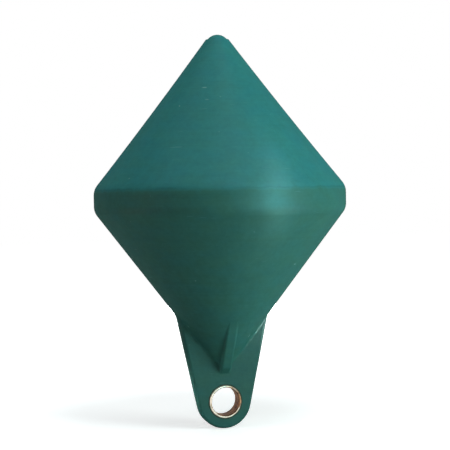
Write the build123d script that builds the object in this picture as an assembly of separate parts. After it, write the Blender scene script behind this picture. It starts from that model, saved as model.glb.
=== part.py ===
from build123d import *
from math import atan, cos, radians, sin, tan
import os

# Double-cone navigation buoy: a hollow hull moulded in polyethylene with a flat mooring tail,
# the plug that closes its filling hole, and the flared metal bush that lines its mooring eye.
# Lengths are in millimetres. The origin is on the hull's axis at mid-height of its belt, which
# is where the moored buoy floats. +Z is up, and the tail lies flat in the XZ plane.

# Hull: belt and cones
BELT_DIAMETER = 400.0
BELT_HEIGHT = 35.0
UPPER_CONE_HEIGHT = 235.0  # from the belt up to the flat top
TOP_FLAT_DIAMETER = 37.0
FLANK_SINK = 1.4  # how far the upper flank has cooled in from a straight line
LOWER_CONE_HEIGHT = 265.0  # from the belt down to where the cone would come to a point
UPPER_EDGE_RADIUS = 26.0
LOWER_EDGE_RADIUS = 24.5
WALL = 5.0

# Mooring tail
TAIL_THICKNESS = 23.0
TAIL_END_RADIUS = 43.2
TAIL_TAPER = 12.2  # degrees between each side and the axis
TAIL_SWEEP_RADIUS = 38.0  # where each side sweeps out to the cone
TAIL_ROOT_TURN = 4.0  # degrees that each side turns in under the cone's surface
TAIL_EDGE_RADIUS = 4.0
TAIL_SEAM_RADIUS = 5.0  # where the tail runs into the cone
EYE_BELOW_CONE = 40.4  # from the cone's point down to the eye's axis

# Ribs that stiffen the tail, one on each face
RIB_WIDTH = 17.0
RIB_LENGTH = 78.0  # of the crest, from the heel at its lower end to where it runs out on the cone
RIB_HEEL_DROP = 1.0  # from the level where the cone runs out on the tail down to the heel
RIB_HEEL_HEIGHT = 12.3  # how far the heel stands off the tail's face
RIB_HEEL_RADIUS = 8.0
RIB_FOOT_SLOPE = 37.0  # degrees that the foot slopes down from the heel to the tail
RIB_EDGE_RADIUS = 3.5
RIB_SEAM_RADIUS = 3.0  # where the rib runs into the tail and the cone

# Bush that lines the mooring eye
EYE_BORE_DIAMETER = 45.0
BUSH_WALL = 2.0
FLARE_RADIUS = 2.0  # of the flare's back, where it beds on the hull
LIP_CHAMFER = 0.5
BUSH_CLEARANCE = 0.1

# Filling plug
PLUG_HEAD_HEIGHT = 8.0
PLUG_HEAD_SETBACK = 2.5  # of the head's rim from the edge of the flat top
PLUG_SHANK_DIAMETER = 20.0
PLUG_REACH = 12.0  # how far the shank goes on into the hollow
PLUG_TIP_CHAMFER = 1.5
PLUG_CLEARANCE = 0.15

# Places that follow from the sizes above
belt_radius = BELT_DIAMETER / 2
belt_top = BELT_HEIGHT / 2
belt_bottom = -BELT_HEIGHT / 2
top_radius = TOP_FLAT_DIAMETER / 2
top_level = belt_top + UPPER_CONE_HEIGHT
cone_point = belt_bottom - LOWER_CONE_HEIGHT
cone_angle = atan(belt_radius / LOWER_CONE_HEIGHT)
tail_face = TAIL_THICKNESS / 2
valley_level = cone_point + tail_face / tan(cone_angle)  # where the cone runs out on the tail
eye_level = cone_point - EYE_BELOW_CONE
bush_radius = EYE_BORE_DIAMETER / 2 + BUSH_WALL


def body_outline():
    """Outline of the belt and cones in the XY plane, to be spun about its Y axis."""
    top = Vector(top_radius, top_level)
    upper_edge = Vector(belt_radius, belt_top)
    lower_edge = Vector(belt_radius, belt_bottom)
    point = Vector(0, cone_point)
    flank = upper_edge - top
    inward = Vector(flank.Y, -flank.X).normalized()
    half = make_face(
        [
            Line((0, top_level), top),
            ThreePointArc(top, (top + upper_edge) / 2 + inward * FLANK_SINK, upper_edge),
            Line(upper_edge, lower_edge),
            Line(lower_edge, point),
            Line(point, (0, top_level)),
        ]
    )
    half = fillet(half.vertices().sort_by_distance(upper_edge)[0], UPPER_EDGE_RADIUS)
    half = fillet(half.vertices().sort_by_distance(lower_edge)[0], LOWER_EDGE_RADIUS)
    return half + mirror(half, Plane.YZ)


def spun(section):
    """Solid of revolution about the Z axis, from a section that is symmetric about its Y axis."""
    return revolve(Plane.XZ * split(section, Plane.YZ), Axis.Z)


def tail_outline():
    """Outline of the tail in its own plane. Each side rises from the round end in a straight
    taper, sweeps out to the cone's edge and runs on just under the cone's surface."""
    taper = radians(TAIL_TAPER)
    root = cone_angle - radians(TAIL_ROOT_TURN)
    along_side = Vector(sin(taper), cos(taper))
    along_cone = Vector(sin(cone_angle), cos(cone_angle))
    along_root = Vector(sin(root), cos(root))
    end = Vector(0, eye_level) + Vector(cos(taper), -sin(taper)) * TAIL_END_RADIUS
    cone_edge = Line((0, cone_point), Vector(0, cone_point) + along_cone * LOWER_CONE_HEIGHT)
    side = IntersectingLine(end, along_side, cone_edge)
    corner = side @ 1
    hidden = Line(corner, corner + along_root * TAIL_SWEEP_RADIUS)
    right = side + hidden
    outline = make_face(
        [
            *right.edges(),
            *mirror(right, Plane.YZ).edges(),
            Line(hidden @ 1, (-(hidden @ 1).X, (hidden @ 1).Y)),
            ThreePointArc(end, (0, eye_level - TAIL_END_RADIUS), (-end.X, end.Y)),
        ]
    )
    corners = outline.vertices().filter_by(lambda place: abs(place.Y - corner.Y) < 0.001)
    return fillet(corners, TAIL_SWEEP_RADIUS)


def eye_place():
    """Place of the mooring eye in the tail, with local Z along the eye's axis."""
    return Pos(0, 0, eye_level) * Rot(90, 0, 0)


def tail():
    """Flat tail with rounded edges, bored for the bush. The hole's rims are eased to bed the
    bush's flares."""
    plate = extrude(Plane.XZ * tail_outline(), tail_face, both=True)
    for side in (0, -1):
        rim = plate.faces().sort_by(Axis.Y)[side].edges().sort_by(Axis.Z)
        plate = fillet(rim[:-1], TAIL_EDGE_RADIUS)
    hole_radius = bush_radius + BUSH_CLEARANCE
    plate -= eye_place() * Cylinder(hole_radius, 2 * TAIL_THICKNESS)
    circles = plate.edges().filter_by(GeomType.CIRCLE)
    hole_rims = circles.filter_by(lambda edge: abs(edge.radius - hole_radius) < 0.001)
    return fillet(hole_rims, FLARE_RADIUS - BUSH_CLEARANCE)


def rib():
    """Rib on the tail's rear face. Its crest climbs from the heel and runs out on the cone, and
    its foot slopes down from the heel to the tail."""
    heel_level = valley_level - RIB_HEEL_DROP
    heel = Vector(tail_face + RIB_HEEL_HEIGHT, heel_level)
    foot_level = heel.Y - heel.X * tan(radians(RIB_FOOT_SLOPE))
    run_out_level = heel_level + RIB_LENGTH
    run_out = Vector((run_out_level - cone_point) * tan(cone_angle), run_out_level)
    hidden = run_out + (run_out - heel).normalized() * RIB_WIDTH
    web = make_face(Polyline((0, foot_level), heel, hidden, (0, hidden.Y), close=True))
    web = fillet(web.vertices().sort_by_distance(heel)[0], RIB_HEEL_RADIUS)
    block = extrude(Plane.YZ * web, RIB_WIDTH / 2, both=True)
    crest = block.faces().sort_by(Axis.Y)[-1]
    return fillet(crest.edges().sort_by(SortBy.LENGTH)[-2:], RIB_EDGE_RADIUS)


def joined(first, second, seam_radius):
    """Two solids in one, with a fillet all along the seam between them."""
    both = first + second
    return fillet(new_edges(first, second, combined=both), seam_radius)


def hull():
    """Moulded hull: belt, cones, tail and ribs in one piece round one hollow."""
    outside = joined(spun(body_outline()), tail(), TAIL_SEAM_RADIUS)
    for face_rib in (rib(), mirror(rib(), Plane.XZ)):
        outside = joined(outside, face_rib, RIB_SEAM_RADIUS)
    hollow = spun(offset(body_outline(), -WALL))
    hole_radius = PLUG_SHANK_DIAMETER / 2 + PLUG_CLEARANCE
    filling_hole = Pos(0, 0, top_level) * Cylinder(hole_radius, 4 * WALL)
    return outside - hollow - filling_hole


def filling_plug():
    """Domed plug. The underside of its head is at Z = 0, and its shank reaches down."""
    head_radius = top_radius - PLUG_HEAD_SETBACK
    shank_radius = PLUG_SHANK_DIAMETER / 2
    shank_length = WALL + PLUG_REACH
    dome = ThreePointArc((-head_radius, 0), (0, PLUG_HEAD_HEIGHT), (head_radius, 0))
    shank = Polyline(
        (head_radius, 0),
        (shank_radius, 0),
        (shank_radius, -shank_length),
        (-shank_radius, -shank_length),
        (-shank_radius, 0),
        (-head_radius, 0),
    )
    section = make_face([dome, *shank.edges()])
    section = chamfer(section.vertices().group_by(Axis.Y)[0], PLUG_TIP_CHAMFER)
    return spun(section)


def eye_bush():
    """Metal tube along Z with its middle at the origin, flared outwards at both ends."""
    bore_radius = EYE_BORE_DIAMETER / 2
    bend_level = tail_face + BUSH_CLEARANCE - FLARE_RADIUS
    bend_centre = Vector(bush_radius + FLARE_RADIUS, bend_level)
    front = CenterArc(bend_centre, FLARE_RADIUS + BUSH_WALL, 90, 90)
    back = CenterArc(bend_centre, FLARE_RADIUS, 90, 90)
    half = make_face(
        [
            Line((bore_radius, 0), front @ 1),
            front,
            Line(front @ 0, back @ 0),
            back,
            Line(back @ 1, (bush_radius, 0)),
            Line((bush_radius, 0), (bore_radius, 0)),
        ]
    )
    half = chamfer(half.vertices().group_by(Axis.X)[-1], LIP_CHAMFER)
    wall = half + mirror(half, Plane.XZ)
    return revolve(Plane.XZ * wall, Axis.Z)


def assembled():
    """The pieces by name, each seated in the hull at a rigid joint."""
    pieces = {"hull": hull(), "filling_plug": filling_plug(), "eye_bush": eye_bush()}
    seats = {"filling_plug": Pos(0, 0, top_level), "eye_bush": eye_place()}
    for name, place in seats.items():
        seat = RigidJoint(name, pieces["hull"], place)
        seat.connect_to(RigidJoint("seat", pieces[name], Location()))
    return pieces


os.makedirs("parts", exist_ok=True)
for name, piece in assembled().items():
    export_step(piece, f"parts/{name}.step")
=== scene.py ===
from math import cos, pi, radians, sin, tau

import bmesh
import bpy
from mathutils import Matrix, Vector, noise


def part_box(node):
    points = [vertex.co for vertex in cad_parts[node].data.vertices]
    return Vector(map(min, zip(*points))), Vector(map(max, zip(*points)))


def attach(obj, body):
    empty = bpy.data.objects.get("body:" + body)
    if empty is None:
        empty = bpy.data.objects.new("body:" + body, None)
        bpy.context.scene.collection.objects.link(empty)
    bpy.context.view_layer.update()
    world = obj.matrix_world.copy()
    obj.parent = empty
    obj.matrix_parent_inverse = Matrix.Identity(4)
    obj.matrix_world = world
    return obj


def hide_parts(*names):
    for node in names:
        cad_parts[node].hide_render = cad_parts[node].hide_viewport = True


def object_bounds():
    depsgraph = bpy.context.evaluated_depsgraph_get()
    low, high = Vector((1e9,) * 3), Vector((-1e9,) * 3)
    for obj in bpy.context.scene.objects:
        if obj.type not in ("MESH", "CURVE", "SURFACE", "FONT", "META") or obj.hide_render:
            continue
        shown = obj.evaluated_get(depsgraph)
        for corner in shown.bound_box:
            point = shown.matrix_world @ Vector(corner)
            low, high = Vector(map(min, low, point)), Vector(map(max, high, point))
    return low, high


# A moored double-cone marker buoy in green moulded plastic, with its filling plug on top and a
# flared brass bush in the mooring eye. Lengths are in metres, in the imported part's own frame.

# Camera: its place is on a circle round the buoy's axis, with its azimuth from the tail's front.
# The heading, pitch and roll are small turns away from a level look at the axis.
CAMERA_AZIMUTH = radians(-15.0)
CAMERA_DISTANCE = 1.8182
CAMERA_HEIGHT = 0.010
CAMERA_HEADING = radians(-0.23)
CAMERA_PITCH = radians(-1.632)
CAMERA_ROLL = radians(-1.010)
CAMERA_LENS = 91.2
SENSOR_WIDTH = 36.0

# Floor. It glows where it is seen directly, more with distance, so that it fades to white.
FLOOR_SIZE = 14.0
FLOOR_GREY = 0.80
FLOOR_BOUNCE = 0.30  # the grey that scattered light meets, kept low so that little comes back
NEAR_GLOW = 0.60
FAR_GLOW = 1.0
GLOW_START = 0.3
GLOW_END = 1.6

# Lamps: each panel by name, degrees round the buoy from the camera towards the picture's right,
# degrees above the horizon, distance, width and height, watts and colour. Some go on with the
# place that they are aimed at, and then with the degrees that their light spreads through.
LAMPS = (
    ("high left", -85, 65, 2.0, (0.8, 0.8), 8.3, (0.92, 0.97, 1.0)),
    ("high front", 0, 65, 2.0, (0.8, 0.8), 7.7, (0.74, 1.0, 1.0)),
    ("high right", 30, 65, 2.0, (0.8, 0.8), 18.9, (0.89, 1.0, 0.99)),
    ("front", 30, 0, 2.0, (0.8, 0.8), 3.9, (0.45, 1.0, 0.9)),
    ("right", 65, 20, 2.0, (0.8, 0.8), 17.4, (0.85, 1.0, 0.98)),
    ("left", -60, 0, 2.0, (0.8, 0.8), 4.8, (1.0, 0.5, 0.5)),
    ("low left", -80, -20, 0.85, (0.3, 0.2), 1.9, (1.0, 0.87, 0.9)),
    ("low right", 50, -20, 0.85, (0.3, 0.2), 3.1, (0.97, 0.99, 1.0)),
    ("low side", 65, -20, 0.85, (0.3, 0.2), 4.1, (0.98, 0.99, 1.0)),
)
LAMP_AIM = (0, 0, -0.05)
FULL_SPREAD = 180

# Lamps that give no gloss. One keeps the buoy's far side readable, and the other lights the
# tail's left side.
ON_TAIL_SIDE = (-0.04, 0, -0.315)
FILLS = (
    ("back", 180, 0, 2.0, (0.8, 0.8), 24.0, (0.9, 1.0, 1.0)),
    ("tail side", -75, 0, 0.25, (0.1, 0.04), 0.026, (1.0, 1.0, 1.0), ON_TAIL_SIDE, 34),
)

# Small near lamps that give gloss alone. Four make the soft streak down the right of the belt
# and the cones beside it, and the last the highlight along the seam right of the rib.
ON_BELT = (0.027, -0.198, -0.002)
ON_UPPER_CONE = (0.037, -0.171, 0.049)
ON_LOWER_CONE = (0.028, -0.181, -0.031)
ON_SEAM = (0.064, -0.012, -0.198)
GLINTS = (
    ("belt glint", 49, 15, 0.2, (0.05, 0.05), 0.95, (0.27, 0.9, 1.0), ON_BELT),
    ("under glint", 52, -15, 0.2, (0.05, 0.05), 1.05, (0.15, 0.91, 1.0), ON_BELT),
    ("cone glint", 69, 45, 0.15, (0.05, 0.05), 0.6, (0.67, 0.95, 1.0), ON_UPPER_CONE),
    ("low glint", 71, -46, 0.15, (0.05, 0.05), 0.52, (0.42, 0.97, 0.95), ON_LOWER_CONE),
    ("seam glint", 82, -31, 0.12, (0.04, 0.04), 0.065, (0.85, 1.0, 1.0), ON_SEAM, 36),
)

# Plastic: its two tones meet at the belt's upper edge. The upper tone is painted light, paler
# and bluer for the sky light from above, and the lower is painted shade, darker and greener.
# Each has a deep and a pale end.
SKYLIT_DEEP = (0.0171, 0.1140, 0.1110)
SKYLIT_PALE = (0.0223, 0.1480, 0.1440)
UNDERSHADE_DEEP = (0.0192, 0.0900, 0.0744)
UNDERSHADE_PALE = (0.0250, 0.1170, 0.0967)
SKYLIT_START = 0.0125
SKYLIT_END = 0.0175
SKYLIT_WANDER = 0.0013  # how far the meeting line strays up and down
YELLOWER = (1.05, 1.0, 0.95)
BLUER = (0.95, 1.0, 1.05)

# Noise patterns in the plastic. A stretch above 1 packs a pattern closer along that axis.
CLOUDS = {"scale": 9.0, "detail": 4.0}
MOTTLE = {"scale": 60.0, "detail": 5.0, "roughness": 0.6}
GRAIN = {"scale": 170.0, "roughness": 0.6}
RINGS = {"scale": 3.0, "stretch": (1, 1, 130)}  # left by the lathe that finished the mould
HUES = {"scale": 22.0, "stretch": (1, 1, 2.2), "detail": 4.0, "roughness": 0.6}
EDGE_SHADE_PATCHES = {"scale": 11.0}
SCRATCHES = {"scale": 26.0, "stretch": (1, 1, 22), "detail": 2.0}
SCUFFED_PLACES = {"scale": 14.0, "detail": 2.0}
SPECKS = {"scale": 95.0, "detail": 1.0}
SWELL = {"scale": 22.0, "detail": 2.0}
PEEL = {"scale": 900.0, "detail": 2.0}
CLOUDS_SHARE, MOTTLE_SHARE, GRAIN_SHARE, RINGS_SHARE = 0.20, 0.33, 0.32, 0.15

# Ranges of a pattern's value over which what it drives goes from none to full
TONE_RANGE = (0.35, 0.65)
HUE_RANGE = (0.36, 0.64)
EDGE_SHADE_RANGE = (0.38, 0.55)
SCRATCH_RANGE = (0.69, 0.74)
SCUFFED_RANGE = (0.52, 0.62)
SPECK_RANGE = (0.78, 0.82)
USUAL_RANGE = (0.3, 0.7)  # where nearly all of a pattern's values lie

# The tail's flat faces below this level are painted darker than the cone: painted shade, for the
# light from above that the lower cone keeps off them.
TAIL_TOP = -0.16
TAIL_PAINTED_SHADE = 0.79
FACE_OFF = 0.0012  # this far off a face, nothing is darkened
FACE_ON = 0.0002  # this near to it, all is

# Painted shade: a patchy dark line along the belt's upper edge, where the cone turns into the
# belt, and a dark ring round the bush under its flare, with its radii from the eye's axis
EDGE_SHADE_LEVEL = 0.0168
EDGE_SHADE_HALF = 0.0020
EDGE_SHADE_CORE = 0.3  # share of the line's half width at full strength
EDGE_SHADE_DARK = 0.82
# The ring round the bush is painted shade under its flare.
SEAT_SHADE_IN = 0.0270
SEAT_SHADE_OUT = 0.0288
SEAT_SHADE_WANDER = 0.0006
SEAT_SHADE_COVER = 0.85
SEAT_SHADE_COLOUR = (0.020, 0.028, 0.014)

# Marks: scuffs, specks, and old knocks on the upper cone by centre, half lengths and strength
SCUFF = (0.10, 0.25, 0.24)
SCUFF_COVER = 0.35
SPECK = (0.13, 0.28, 0.27)
SPECK_COVER = 0.4
KNOCK = (0.20, 0.36, 0.34)
KNOCK_CORE = 0.4  # share of a knock's half lengths at full strength
KNOCKS = (
    ((-0.0400, -0.0697, 0.1703), (0.0050, 0.0060, 0.0012), 0.36),
    ((-0.0406, -0.0863, 0.1507), (0.0040, 0.0060, 0.0012), 0.20),
    ((-0.0784, -0.0648, 0.1425), (0.0014, 0.0030, 0.0014), 0.35),
)

# Plastic's surface. Its gloss is less where it is seen edge on, as on a chalked skin.
ROUGHNESS = 0.50
TONE_ROUGHNESS = 0.05
SCUFF_ROUGHNESS = 0.12
SWELL_HEIGHT = 0.0007
RING_HEIGHT = 0.00010
PEEL_HEIGHT = 0.00006
GLOSS = 0.12
GLOSS_FALL = 2.4
ANISOTROPY = 0.3
ACROSS_RINGS = 0.25  # of a full turn

# Bush: radii are from the eye's axis, and levels along it from the middle of the tail.
TAIL_FACE = 0.0115
BUSH_BORE = 0.0225
BUSH_WALL = 0.002
FLARE_BEND = 0.002
FLARE_END = 98  # degrees round the bend, where the bead takes over
BEAD_RADIUS = 0.00185
BEAD_LEVEL = 0.0117
BUSH_CLEARANCE = 0.0001
BUSH_TURNS = 160
ARC_STEPS = 9

# How the lips, rolled over by hand, stray from true: a slow wander and quicker kinks, each with
# the radius of the circle in noise space that one turn goes round
LIP_WOBBLE = 0.00040
BORE_WOBBLE = 0.00018
WANDER_CIRCLE = 2.4
WANDER_ALONG = 120
KINK_CIRCLE = 5.5
KINK_CENTRE = Vector((7, 3, 1))
KINK_SHARE = 0.6

# Brass: bright on the lips and brown elsewhere. The bright side, low and to the left, is partly
# worn where the shackle bears and partly painted light where the flare faces the lamps. The
# brown on the lips' far side is painted shade.
RUBBED_AND_LIT_SIDE = (-0.9, 0.0, -0.43)  # the way from the eye's axis that is rubbed and painted lit most
RUBBED_LIT_FROM = 0.0235
RUBBED_LIT_FULLY = 0.0240
RUBBED_LIT_WANDER = 0.0003
SIDE_RANGE = (-1.05, -0.15)
SIDE_WANDER = 0.2
STAIN = {"scale": 160.0, "detail": 4.0, "roughness": 0.65}
# Streaks in the brown are painted reflections of the dark surroundings.
REFLECTION_LINES = {"scale": 60.0, "stretch": (1, 6, 1), "roughness": 0.6}
REFLECTION_RUNS = {"scale": 110.0, "stretch": (1, 0.4, 1), "detail": 4.0, "roughness": 0.7}
DENTS = {"scale": 240.0}
LINES_SHARE, RUNS_SHARE = 0.55, 0.45
STREAK_RANGE = (0.42, 0.58)
STAIN_RANGE = (0.35, 0.65)
BROWN_DEEP = (0.060, 0.025, 0.013)
BROWN_PALE = (0.36, 0.18, 0.085)
BRIGHT_DEEP = (0.46, 0.40, 0.31)
BRIGHT_PALE = (0.70, 0.66, 0.56)
BROWN_ROUGHNESS, BRIGHT_ROUGHNESS = 0.62, 0.42
STAIN_ROUGHNESS = (-0.05, 0.08)
BROWN_METAL, BRIGHT_METAL = 0.55, 1.0
BRASS_GLOSS = 0.1
DENT_HEIGHT = 0.00025

EYE_PLANE = (1, 0, 1)  # leaves out the part of a vector along the eye's axis
VALUE_OPERATIONS = ("LENGTH", "DOT_PRODUCT", "DISTANCE")

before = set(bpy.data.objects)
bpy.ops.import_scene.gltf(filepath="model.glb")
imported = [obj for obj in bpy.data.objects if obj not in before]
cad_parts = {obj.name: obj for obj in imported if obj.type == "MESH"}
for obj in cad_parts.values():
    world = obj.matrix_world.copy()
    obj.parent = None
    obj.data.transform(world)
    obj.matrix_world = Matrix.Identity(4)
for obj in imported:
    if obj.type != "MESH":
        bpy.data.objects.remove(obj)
cad_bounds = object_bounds()
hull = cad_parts["hull"]
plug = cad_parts["filling_plug"]


class Shading:
    """The nodes of a material or a world, with a short call for each kind that is used often."""

    def __init__(self, owner, shader="Principled BSDF"):
        self.owner = owner
        owner.use_nodes = True
        self.tree = owner.node_tree
        self.shader = self.tree.nodes[shader]

    def feed(self, socket, value):
        """Link a socket to the socket given, or set it to the value given."""
        if isinstance(value, bpy.types.NodeSocket):
            self.tree.links.new(value, socket)
        else:
            socket.default_value = value

    def add(self, kind, inputs, **settings):
        node = self.tree.nodes.new(kind)
        for setting, value in settings.items():
            setattr(node, setting, value)
        for socket, value in inputs.items():
            self.feed(node.inputs[socket], value)
        return node

    def place(self, stretch=(1, 1, 1)):
        """Object coordinates, each multiplied by its stretch."""
        here = self.tree.nodes.new("ShaderNodeTexCoord").outputs["Object"]
        return self.add("ShaderNodeMapping", {"Vector": here, "Scale": stretch}).outputs[0]

    def noise(self, scale, stretch=(1, 1, 1), detail=3.0, roughness=0.5):
        inputs = {"Vector": self.place(stretch), "Scale": scale, "Detail": detail}
        inputs["Roughness"] = roughness
        return self.add("ShaderNodeTexNoise", inputs).outputs["Fac"]

    def math(self, operation, first, second=0.0):
        return self.add("ShaderNodeMath", {0: first, 1: second}, operation=operation).outputs[0]

    def vector(self, operation, first, second=(0, 0, 0)):
        inputs = {0: first, 1: second}
        output = "Value" if operation in VALUE_OPERATIONS else "Vector"
        return self.add("ShaderNodeVectorMath", inputs, operation=operation).outputs[output]

    def remap(self, value, low, high, to_low=0.0, to_high=1.0):
        inputs = {"Value": value, "From Min": low, "From Max": high}
        inputs |= {"To Min": to_low, "To Max": to_high}
        return self.add("ShaderNodeMapRange", inputs).outputs[0]

    def sway(self, pattern, low, high):
        """A pattern's usual values, turned into those from low to high."""
        return self.remap(pattern, *USUAL_RANGE, low, high)

    def mix(self, *parts):
        """The sum of some values, each times its own share."""
        total = 0.0
        for share, value in parts:
            inputs = {0: value, 1: share, 2: total}
            total = self.add("ShaderNodeMath", inputs, operation="MULTIPLY_ADD").outputs[0]
        return total

    def blend(self, share, first, second):
        """From the first colour to the second, by the second's share."""
        inputs = {"Factor": share, 6: first, 7: second}
        return self.add("ShaderNodeMix", inputs, data_type="RGBA").outputs[2]

    def multiply(self, colour, factor):
        """The colour times a grey or coloured factor."""
        inputs = {"Factor": 1.0, 6: colour, 7: factor}
        settings = {"data_type": "RGBA", "blend_type": "MULTIPLY"}
        return self.add("ShaderNodeMix", inputs, **settings).outputs[2]

    def bump(self, height, distance, normal=None):
        inputs = {"Height": height, "Distance": distance}
        if normal:
            inputs["Normal"] = normal
        return self.add("ShaderNodeBump", inputs).outputs[0]

    def finish(self, **inputs):
        """Feed the shader's own sockets, each by its name with _ for a space."""
        for name, value in inputs.items():
            self.feed(self.shader.inputs[name.replace("_", " ")], value)


def rgb(red, green, blue):
    return (red, green, blue, 1.0)


def grey(level):
    return rgb(level, level, level)


def with_painted_shade(m, colour, here, level, eye, grain):
    """The colour with painted shade: a patchy dark line along the belt's upper edge, and a dark
    ring round the bush under its flare."""
    # Painted shade: a patchy dark line along the belt's upper edge.
    off_line = m.math("ABSOLUTE", m.math("SUBTRACT", level, EDGE_SHADE_LEVEL))
    line = m.remap(off_line, EDGE_SHADE_HALF, EDGE_SHADE_CORE * EDGE_SHADE_HALF)
    patchy = m.remap(m.noise(**EDGE_SHADE_PATCHES), *EDGE_SHADE_RANGE)
    dark = m.multiply(colour, grey(EDGE_SHADE_DARK))
    colour = m.blend(m.math("MULTIPLY", line, patchy), colour, dark)

    # Painted shade: a dark ring round the bush, under its flare where it beds on the tail.
    across = m.vector("MULTIPLY", m.vector("SUBTRACT", here, eye), EYE_PLANE)
    wander = m.sway(grain, -SEAT_SHADE_WANDER, SEAT_SHADE_WANDER)
    off_eye = m.math("ADD", m.vector("LENGTH", across), wander)
    ring = m.remap(off_eye, SEAT_SHADE_OUT, SEAT_SHADE_IN)
    return m.blend(m.math("MULTIPLY", ring, SEAT_SHADE_COVER), colour, rgb(*SEAT_SHADE_COLOUR))


def marked(m, colour, here, scuffs):
    """The colour with its scuffs, specks and knocks."""
    colour = m.blend(m.math("MULTIPLY", scuffs, SCUFF_COVER), colour, rgb(*SCUFF))
    specks = m.remap(m.noise(**SPECKS), *SPECK_RANGE, 0.0, SPECK_COVER)
    colour = m.blend(specks, colour, rgb(*SPECK))
    for centre, half, strength in KNOCKS:
        off = m.vector("DIVIDE", m.vector("SUBTRACT", here, centre), half)
        knock = m.remap(m.vector("LENGTH", off), 1.0, KNOCK_CORE, 0.0, strength)
        colour = m.blend(knock, colour, rgb(*KNOCK))
    return colour


def moulded_plastic(eye):
    """Green polyethylene out of a lathe-finished mould, a little scuffed, with painted light and
    shade.
    """
    m = Shading(bpy.data.materials.new("moulded plastic"))
    here = m.place()
    axes = m.add("ShaderNodeSeparateXYZ", {"Vector": here}).outputs
    mottle, grain, rings = m.noise(**MOTTLE), m.noise(**GRAIN), m.noise(**RINGS)
    tone = m.mix(
        (CLOUDS_SHARE, m.noise(**CLOUDS)),
        (MOTTLE_SHARE, mottle),
        (GRAIN_SHARE, grain),
        (RINGS_SHARE, rings),
    )
    tone = m.remap(tone, *TONE_RANGE)
    # Painted light and shade: the paler, bluer tone above the belt stands for sky light from
    # above, and the darker, greener one below for shade.
    level = m.math("ADD", axes["Z"], m.sway(mottle, -SKYLIT_WANDER, SKYLIT_WANDER))
    skylit = m.blend(tone, rgb(*SKYLIT_DEEP), rgb(*SKYLIT_PALE))
    undershaded = m.blend(tone, rgb(*UNDERSHADE_DEEP), rgb(*UNDERSHADE_PALE))
    colour = m.blend(m.remap(level, SKYLIT_START, SKYLIT_END), undershaded, skylit)
    hue = m.remap(m.noise(**HUES), *HUE_RANGE)
    colour = m.multiply(colour, m.blend(hue, rgb(*YELLOWER), rgb(*BLUER)))

    # Painted shade: the tail's flat faces are darkened, for the light from above that the lower
    # cone keeps off them.
    off_middle = m.math("ABSOLUTE", axes["Y"])
    on_face = m.remap(off_middle, TAIL_FACE + FACE_OFF, TAIL_FACE + FACE_ON)
    on_tail = m.math("MULTIPLY", on_face, m.math("LESS_THAN", axes["Z"], TAIL_TOP))
    colour = m.blend(on_tail, colour, m.multiply(colour, grey(TAIL_PAINTED_SHADE)))
    colour = with_painted_shade(m, colour, here, level, eye, grain)
    scratches = m.remap(m.noise(**SCRATCHES), *SCRATCH_RANGE)
    places = m.remap(m.noise(**SCUFFED_PLACES), *SCUFFED_RANGE)
    scuffs = m.math("MULTIPLY", scratches, places)
    colour = marked(m, colour, here, scuffs)

    rough = m.mix((TONE_ROUGHNESS, tone), (SCUFF_ROUGHNESS, scuffs), (ROUGHNESS, 1.0))
    swell = m.bump(m.noise(**SWELL), SWELL_HEIGHT)
    turned = m.bump(rings, RING_HEIGHT, normal=swell)
    peel = m.bump(m.noise(**PEEL), PEEL_HEIGHT, normal=turned)
    facing = m.add("ShaderNodeLayerWeight", {"Blend": 0.5}).outputs["Facing"]
    squarely = m.math("POWER", m.math("SUBTRACT", 1.0, facing), GLOSS_FALL)
    turning = m.add("ShaderNodeTangent", {}, direction_type="RADIAL", axis="Z").outputs[0]
    m.finish(Anisotropic=ANISOTROPY, Anisotropic_Rotation=ACROSS_RINGS, Tangent=turning)
    m.finish(Specular_IOR_Level=GLOSS)  # what the socket holds where its link is dropped
    m.finish(Specular_IOR_Level=m.math("MULTIPLY", squarely, GLOSS))
    m.finish(Base_Color=colour, Roughness=rough, Normal=peel)
    return m.owner


def worn_and_lit_brass():
    """Brass bright on one side of the lips, where its shackle has rubbed it and as painted light
    where the flare faces the lamps. It is brown on the lips' other side as painted shade, and
    brown with patina down its bore."""
    m = Shading(bpy.data.materials.new("worn brass"))
    stain = m.noise(**STAIN)
    across = m.vector("MULTIPLY", m.place(), EYE_PLANE)
    radius = m.vector("LENGTH", across)
    # Painted light: the lips are brightest on the side that faces the lamps, as well as where
    # they are rubbed.
    edge = m.math("ADD", radius, m.sway(stain, -RUBBED_LIT_WANDER, RUBBED_LIT_WANDER))
    toward = m.math("DIVIDE", m.vector("DOT_PRODUCT", across, RUBBED_AND_LIT_SIDE), radius)
    toward = m.math("ADD", toward, m.sway(stain, -SIDE_WANDER, SIDE_WANDER))
    on_lip = m.remap(edge, RUBBED_LIT_FROM, RUBBED_LIT_FULLY)
    rubbed_and_lit = m.math("MULTIPLY", on_lip, m.remap(toward, *SIDE_RANGE))

    # Painted reflections: streaks in the brown stand for the dark surroundings reflected in the
    # bore.
    reflection_streaks = m.mix((LINES_SHARE, m.noise(**REFLECTION_LINES)), (RUNS_SHARE, m.noise(**REFLECTION_RUNS)))
    brown = m.blend(m.remap(reflection_streaks, *STREAK_RANGE), rgb(*BROWN_DEEP), rgb(*BROWN_PALE))
    bright = m.blend(m.remap(stain, *STAIN_RANGE), rgb(*BRIGHT_DEEP), rgb(*BRIGHT_PALE))
    rough = m.remap(rubbed_and_lit, 0, 1, BROWN_ROUGHNESS, BRIGHT_ROUGHNESS)
    rough = m.math("ADD", rough, m.sway(stain, *STAIN_ROUGHNESS))
    metal = m.remap(rubbed_and_lit, 0, 1, BROWN_METAL, BRIGHT_METAL)
    dents = m.bump(m.noise(**DENTS), DENT_HEIGHT)
    m.finish(Base_Color=m.blend(rubbed_and_lit, brown, bright), Roughness=rough, Metallic=metal)
    m.finish(Normal=dents, Specular_IOR_Level=BRASS_GLOSS)
    return m.owner


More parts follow.
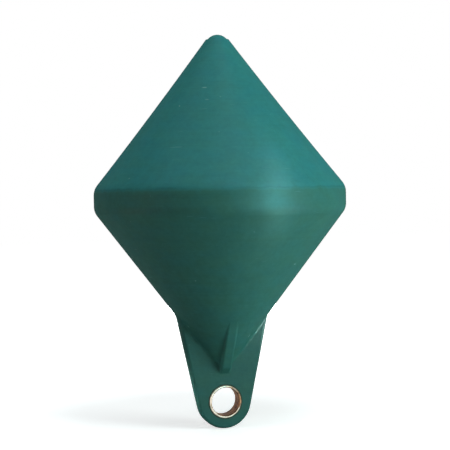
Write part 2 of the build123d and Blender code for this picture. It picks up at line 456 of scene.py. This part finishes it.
def arc(centre, radius, start, end):
    """Points along an arc in the bush's section, angles in degrees."""
    for step in range(ARC_STEPS + 1):
        angle = radians(start + (end - start) * step / ARC_STEPS)
        yield centre[0] + radius * cos(angle), centre[1] + radius * sin(angle)


def bush_section():
    """Section of the bush as (radius, level) points, once round. Each lip is rolled over into a
    bead that beds on the tail's eased rim."""
    bend = (BUSH_BORE + BUSH_WALL + FLARE_BEND, TAIL_FACE + BUSH_CLEARANCE - FLARE_BEND)
    bead = (BUSH_BORE + BEAD_RADIUS, BEAD_LEVEL)
    half = [*arc(bead, BEAD_RADIUS, 180, 0), *arc(bend, FLARE_BEND, FLARE_END, 180)]
    return half + [(radius, -level) for radius, level in reversed(half)]


def strayed(way, radius, level):
    """Place of a point of the section at one turn of the bush, pulled in by its wander and
    kinks."""
    lipped = max(0.0, min(1.0, (radius - BUSH_BORE) / (2 * BUSH_WALL)))
    reach = BORE_WOBBLE + (LIP_WOBBLE - BORE_WOBBLE) * lipped
    wander = noise.noise(way * WANDER_CIRCLE + Vector((0, level * WANDER_ALONG, 0))) * reach
    kink = noise.noise(way * KINK_CIRCLE + KINK_CENTRE) * LIP_WOBBLE * KINK_SHARE * lipped
    place = way * (radius - abs(wander) - abs(kink))
    place.y = level
    return place


def lathe_bush(eye):
    """The bush as one closed mesh round the eye's axis."""
    section = bush_section()
    mesh = bmesh.new()
    rings = []
    for turn in range(BUSH_TURNS):
        angle = tau * turn / BUSH_TURNS
        way = Vector((cos(angle), 0, sin(angle)))
        rings.append([mesh.verts.new(strayed(way, *point)) for point in section])
    for turn in range(BUSH_TURNS):
        here, after = rings[turn], rings[(turn + 1) % BUSH_TURNS]
        for i in range(len(section)):
            j = (i + 1) % len(section)
            mesh.faces.new((here[i], here[j], after[j], after[i]))
    bmesh.ops.recalc_face_normals(mesh, faces=mesh.faces)
    data = bpy.data.meshes.new("eye_bush_rolled")
    mesh.to_mesh(data)
    mesh.free()
    data.shade_smooth()
    bush = link("eye_bush_rolled", data)
    bush.location = eye
    return bush


def link(name, data):
    """A new object of that data, in the scene."""
    thing = bpy.data.objects.new(name, data)
    bpy.context.collection.objects.link(thing)
    return thing


def dress(piece, material):
    """Give a piece one material, in place of what it has."""
    piece.data.materials.clear()
    piece.data.materials.append(material)


def add_camera():
    """The photograph's camera."""
    data = bpy.data.cameras.new("camera")
    data.lens = CAMERA_LENS
    data.sensor_width = SENSOR_WIDTH
    place = Vector((sin(CAMERA_AZIMUTH), -cos(CAMERA_AZIMUTH), 0)) * CAMERA_DISTANCE
    place.z = CAMERA_HEIGHT
    turn = Matrix.Rotation(CAMERA_AZIMUTH + CAMERA_HEADING, 4, "Z")
    tilt = Matrix.Rotation(pi / 2 + CAMERA_PITCH, 4, "X")
    roll = Matrix.Rotation(CAMERA_ROLL, 4, "Z")
    camera = link("camera", data)
    camera.matrix_world = Matrix.Translation(place) @ turn @ tilt @ roll
    bpy.context.scene.camera = camera


def seen_directly(m):
    """1 for rays from the camera and in reflections, and 0 for light that scatters."""
    path = m.tree.nodes.new("ShaderNodeLightPath").outputs
    seen = m.math("MAXIMUM", path["Is Camera Ray"], path["Is Glossy Ray"])
    return m.math("MAXIMUM", seen, path["Is Transmission Ray"])


def add_floor(level):
    """A white floor at that level, which keeps the buoy's soft shadow."""
    m = Shading(bpy.data.materials.new("pale floor"))
    seen = seen_directly(m)
    shade = m.remap(seen, 0, 1, FLOOR_BOUNCE, FLOOR_GREY)
    pale = m.add("ShaderNodeCombineColor", {0: shade, 1: shade, 2: shade}).outputs[0]
    away = m.vector("DISTANCE", m.place(), (0, 0, level))
    glow = m.math("MULTIPLY", seen, m.remap(away, GLOW_START, GLOW_END, NEAR_GLOW, FAR_GLOW))
    m.finish(Base_Color=pale, Roughness=1.0, Specular_IOR_Level=0.0)
    m.finish(Emission_Color=grey(1.0), Emission_Strength=glow)
    data = bpy.data.meshes.new("floor")
    half = FLOOR_SIZE / 2
    corners = [(x * half, y * half, level) for x, y in ((-1, -1), (1, -1), (1, 1), (-1, 1))]
    data.from_pydata(corners, [], [(0, 1, 2, 3)])
    data.materials.append(m.owner)
    floor = link("floor", data)


def add_world():
    """White where it is seen directly. It lights nothing, which is left to the lamps."""
    world = bpy.data.worlds.new("studio")
    m = Shading(world, "Background")
    m.finish(Color=grey(1.0), Strength=seen_directly(m))
    bpy.context.scene.world = world


def add_lamp(
    name, azimuth, elevation, distance, size, watts, colour, aim=LAMP_AIM, spread=FULL_SPREAD
):
    """A lamp of one of the rows above. The camera doesn't see the lamp itself."""
    data = bpy.data.lights.new(name, "AREA")
    data.shape = "RECTANGLE"
    data.size, data.size_y = size
    data.energy = watts
    data.color = colour
    data.spread = radians(spread)
    bearing = CAMERA_AZIMUTH + radians(azimuth)
    level = cos(radians(elevation))
    way = Vector((sin(bearing) * level, -cos(bearing) * level, sin(radians(elevation))))
    lamp = link(name, data)
    lamp.location = Vector(aim) + way * distance
    lamp.rotation_euler = way.to_track_quat("Z", "Y").to_euler()
    lamp.visible_camera = False
    return lamp


low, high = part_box("eye_bush")
eye = (low + high) / 2
plastic = moulded_plastic(eye)
dress(hull, plastic)
dress(plug, plastic)

bush = lathe_bush(eye)
dress(bush, worn_and_lit_brass())
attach(bush, "root")
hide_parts("eye_bush")

add_floor(cad_bounds[0][2])
add_world()
for lamp in LAMPS:
    add_lamp(*lamp)
for fill in FILLS:
    add_lamp(*fill).visible_glossy = False
for glint in GLINTS:
    add_lamp(*glint).visible_diffuse = False
add_camera()
bpy.context.scene.view_settings.view_transform = "Standard"
